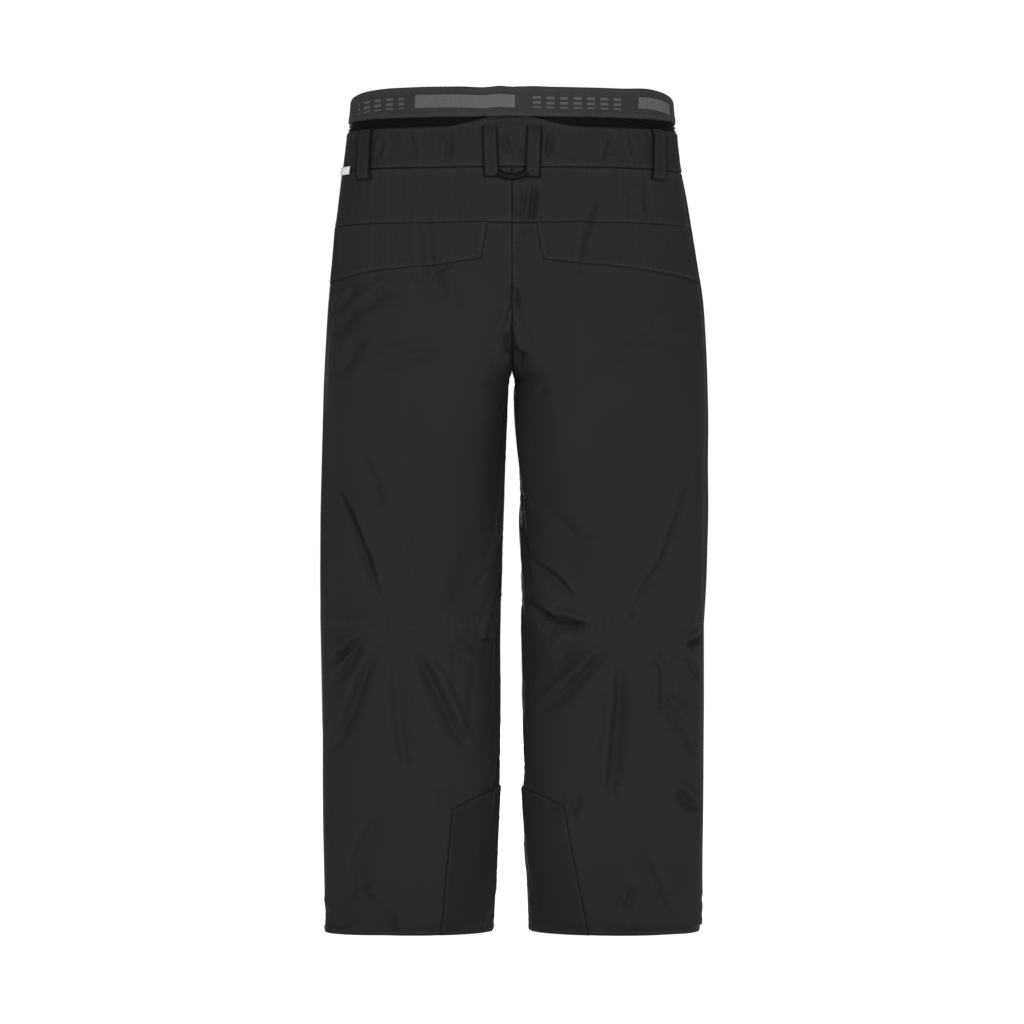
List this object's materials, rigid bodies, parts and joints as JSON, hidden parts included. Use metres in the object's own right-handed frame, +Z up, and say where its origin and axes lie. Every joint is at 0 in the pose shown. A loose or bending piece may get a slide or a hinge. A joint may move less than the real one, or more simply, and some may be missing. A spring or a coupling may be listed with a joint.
{
  "type": "ski pants",
  "caption": "Loose shell ski pants with an elastic back waist, belt loops, zipped fly, pockets and vents, snow gaiters and scuff guards.",
  "frame": {"origin": "centre of the waist opening at the top of the elastic back waist", "axes": "+Z up the body, wearer's front towards -Y, wearer's left towards +X"},
  "size_m": [0.4886, 0.2301, 1.06],
  "materials": {
    "shell_cloth": "matt plain weave",
    "elastic": "woven jacquard elastic",
    "webbing": "folded shell cloth, matt",
    "guard_cloth": "coarse ballistic weave",
    "lining": "taffeta, slight sheen",
    "zip_tape": "coated tape",
    "zip_plastic": "moulded, satin",
    "label_cloth": "woven satin label",
    "snap_metal": "black enamel"
  },
  "bodies": {
    "hips": {"elastic_waistband": "elastic", "gathered_casing": "shell_cloth", "back_waistband": "shell_cloth", "front_waistband_left": "shell_cloth", "front_waistband_right": "shell_cloth", "back_yoke_left": "shell_cloth", "back_yoke_right": "shell_cloth", "seat_panel_left": "shell_cloth", "seat_panel_right": "shell_cloth", "front_panel_left": "shell_cloth", "front_panel_right": "shell_cloth", "hip_band_left": "shell_cloth", "hip_band_right": "shell_cloth", "belt_loop_back_left": "webbing", "belt_loop_back_right": "webbing", "belt_loop_side_left": "webbing", "belt_loop_side_right": "webbing", "belt_loop_front_left": "webbing", "belt_loop_front_right": "webbing", "hanging_loop": "webbing", "side_label": "label_cloth", "fly_zip_tape": "zip_tape", "hand_pocket_zip_tape_left": "zip_tape", "hand_pocket_zip_tape_right": "zip_tape", "hand_pocket_bag_left": "lining", "hand_pocket_bag_right": "lining", "waist_snap_stud": "snap_metal"},
    "thigh_left": {"thigh_back_left": "shell_cloth", "thigh_front_left": "shell_cloth", "thigh_vent_zip_tape_left": "zip_tape", "knee_band_left": "shell_cloth"},
    "shin_left": {"shin_back_left": "shell_cloth", "shin_front_left": "shell_cloth", "scuff_guard_left": "guard_cloth", "snow_gaiter_left": "lining", "hem_facing_left": "shell_cloth"},
    "thigh_right": {"thigh_back_right": "shell_cloth", "thigh_front_right": "shell_cloth", "thigh_vent_zip_tape_right": "zip_tape", "knee_band_right": "shell_cloth"},
    "shin_right": {"shin_back_right": "shell_cloth", "shin_front_right": "shell_cloth", "scuff_guard_right": "guard_cloth", "snow_gaiter_right": "lining", "hem_facing_right": "shell_cloth"},
    "fly_slider": {"fly_zip_slider": "zip_plastic", "fly_zip_puller": "zip_plastic"},
    "hand_pocket_slider_left": {"hand_pocket_zip_slider_left": "zip_plastic"},
    "hand_pocket_puller_left": {"hand_pocket_zip_puller_left": "zip_plastic"},
    "hand_pocket_slider_right": {"hand_pocket_zip_slider_right": "zip_plastic"},
    "hand_pocket_puller_right": {"hand_pocket_zip_puller_right": "zip_plastic"},
    "thigh_vent_slider_left": {"thigh_vent_zip_slider_left": "zip_plastic"},
    "thigh_vent_puller_left": {"thigh_vent_zip_puller_left": "zip_plastic"},
    "thigh_vent_slider_right": {"thigh_vent_zip_slider_right": "zip_plastic"},
    "thigh_vent_puller_right": {"thigh_vent_zip_puller_right": "zip_plastic"},
    "fly_placket": {"fly_placket": "shell_cloth"},
    "waist_tab": {"waist_tab": "shell_cloth", "waist_snap_cap": "snap_metal"},
    "back_pocket_flap_left": {"back_pocket_flap_left": "shell_cloth"},
    "back_pocket_flap_right": {"back_pocket_flap_right": "shell_cloth"}
  },
  "joints": [
    {"name": "hip_left", "type": "hinge", "parent": "hips", "child": "thigh_left", "pos_m": [0.1225, 0, -0.3], "axis": [-1, 0, 0], "range_deg": [-15, 80], "deforming": ["hip_band_left"]},
    {"name": "knee_left", "type": "hinge", "parent": "thigh_left", "child": "shin_left", "pos_m": [0.1285, 0, -0.665], "axis": [1, 0, 0], "range_deg": [0, 90], "deforming": ["knee_band_left"]},
    {"name": "hip_right", "type": "hinge", "parent": "hips", "child": "thigh_right", "pos_m": [-0.1225, 0, -0.3], "axis": [-1, 0, 0], "range_deg": [-15, 80], "deforming": ["hip_band_right"]},
    {"name": "knee_right", "type": "hinge", "parent": "thigh_right", "child": "shin_right", "pos_m": [-0.1285, 0, -0.665], "axis": [1, 0, 0], "range_deg": [0, 90], "deforming": ["knee_band_right"]},
    {"name": "fly_zip", "type": "slide", "parent": "hips", "child": "fly_slider", "axis": [0, -0.095, -0.9955], "range_m": [0, 0.098]},
    {"name": "hand_pocket_zip_left", "type": "slide", "parent": "hips", "child": "hand_pocket_slider_left", "axis": [0.1055, -0.0767, -0.9915], "range_m": [0, 0.132]},
    {"name": "hand_pocket_pull_left", "type": "hinge", "parent": "hand_pocket_slider_left", "child": "hand_pocket_puller_left", "pos_m": [0.17386, -0.07317, -0.1139], "axis": [-0.869, -0.4918, -0.0544], "range_deg": [0, 150]},
    {"name": "hand_pocket_zip_right", "type": "slide", "parent": "hips", "child": "hand_pocket_slider_right", "axis": [-0.1055, -0.0767, -0.9915], "range_m": [0, 0.132]},
    {"name": "hand_pocket_pull_right", "type": "hinge", "parent": "hand_pocket_slider_right", "child": "hand_pocket_puller_right", "pos_m": [-0.17386, -0.07317, -0.1139], "axis": [-0.869, 0.4918, 0.0544], "range_deg": [0, 150]},
    {"name": "thigh_vent_zip_left", "type": "slide", "parent": "thigh_left", "child": "thigh_vent_slider_left", "axis": [0.0069, 0.0471, -0.9989], "range_m": [0, 0.131]},
    {"name": "thigh_vent_pull_left", "type": "hinge", "parent": "thigh_vent_slider_left", "child": "thigh_vent_puller_left", "pos_m": [0.23232, -0.0596, -0.46191], "axis": [-0.6071, -0.7935, -0.0416], "range_deg": [0, 150]},
    {"name": "thigh_vent_zip_right", "type": "slide", "parent": "thigh_right", "child": "thigh_vent_slider_right", "axis": [-0.0069, 0.0471, -0.9989], "range_m": [0, 0.131]},
    {"name": "thigh_vent_pull_right", "type": "hinge", "parent": "thigh_vent_slider_right", "child": "thigh_vent_puller_right", "pos_m": [-0.23232, -0.0596, -0.46191], "axis": [-0.6071, 0.7935, 0.0416], "range_deg": [0, 150]},
    {"name": "fly_placket_fold", "type": "hinge", "parent": "hips", "child": "fly_placket", "pos_m": [0.026, -0.10384, -0.16018], "axis": [0, 0.093, 0.9957], "range_deg": [0, 100]},
    {"name": "waist_tab_fold", "type": "hinge", "parent": "hips", "child": "waist_tab", "pos_m": [0.029, -0.09385, -0.07196], "axis": [0, 0.118, 0.993], "range_deg": [0, 100]},
    {"name": "back_pocket_left", "type": "hinge", "parent": "hips", "child": "back_pocket_flap_left", "pos_m": [0.14398, 0.08809, -0.17], "axis": [0.9588, -0.2842, 0], "range_deg": [0, 60]},
    {"name": "back_pocket_right", "type": "hinge", "parent": "hips", "child": "back_pocket_flap_right", "pos_m": [-0.14398, 0.08809, -0.17], "axis": [0.9588, 0.2842, 0], "range_deg": [0, 60]}
  ]
}
